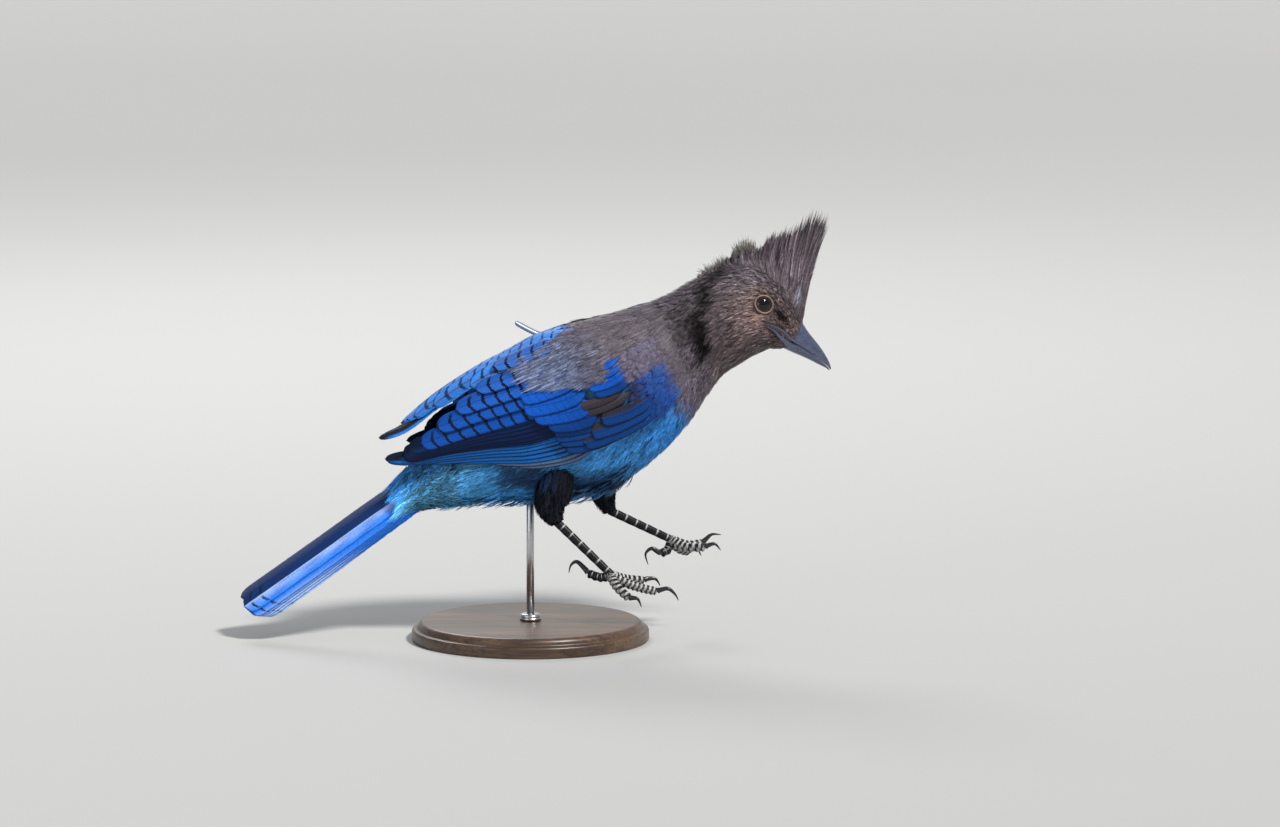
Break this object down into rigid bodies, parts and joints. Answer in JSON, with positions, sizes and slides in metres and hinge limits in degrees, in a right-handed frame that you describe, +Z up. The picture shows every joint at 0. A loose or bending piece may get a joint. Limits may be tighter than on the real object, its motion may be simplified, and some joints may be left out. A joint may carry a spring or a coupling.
{
  "type": "mounted steller's jay",
  "caption": "Life-size still model of a Steller's jay in mid-leap, long crest raised, wings folded and feet reaching forward, held on a rod over a round base.",
  "frame": {"origin": "centre of the stand's underside", "axes": "+Z up, +X the way the bird faces, its right side towards -Y"},
  "size_m": [0.2792, 0.112, 0.2027],
  "materials": {
    "blue_feathers": "azure body feathers, turquoise on belly and rump, soft matt",
    "wing_feathers": "deep cobalt flight feathers with black bars, slight silk sheen",
    "dark_feathers": "brown-black head, crest and neck feathers, soft matt",
    "black_feathers": "black thigh feathers, soft matt",
    "horn": "polished blue-black horn",
    "leg_scales": "black scutes edged in pale grey",
    "eye": "dark brown glass, high gloss",
    "stand_wood": "dark stained hardwood, satin",
    "stand_metal": "brushed steel"
  },
  "bodies": {
    "root": {"torso": "blue_feathers", "rump": "blue_feathers", "tail": "blue_feathers", "wing_right": "wing_feathers", "wing_left": "wing_feathers", "neck": "dark_feathers", "head": "dark_feathers", "crest": "dark_feathers", "bill_upper": "horn", "bill_lower": "horn", "eye_right": "eye", "eye_left": "eye", "thigh_right": "black_feathers", "thigh_left": "black_feathers", "tarsus_right": "leg_scales", "tarsus_left": "leg_scales", "toe_hind_right": "leg_scales", "toe_inner_right": "leg_scales", "toe_middle_right": "leg_scales", "toe_outer_right": "leg_scales", "toe_hind_left": "leg_scales", "toe_inner_left": "leg_scales", "toe_middle_left": "leg_scales", "toe_outer_left": "leg_scales", "claw_hind_right": "horn", "claw_inner_right": "horn", "claw_middle_right": "horn", "claw_outer_right": "horn", "claw_hind_left": "horn", "claw_inner_left": "horn", "claw_middle_left": "horn", "claw_outer_left": "horn", "stand_base": "stand_wood", "stand_collar": "stand_metal", "stand_rod": "stand_metal"}
  },
  "joints": []
}
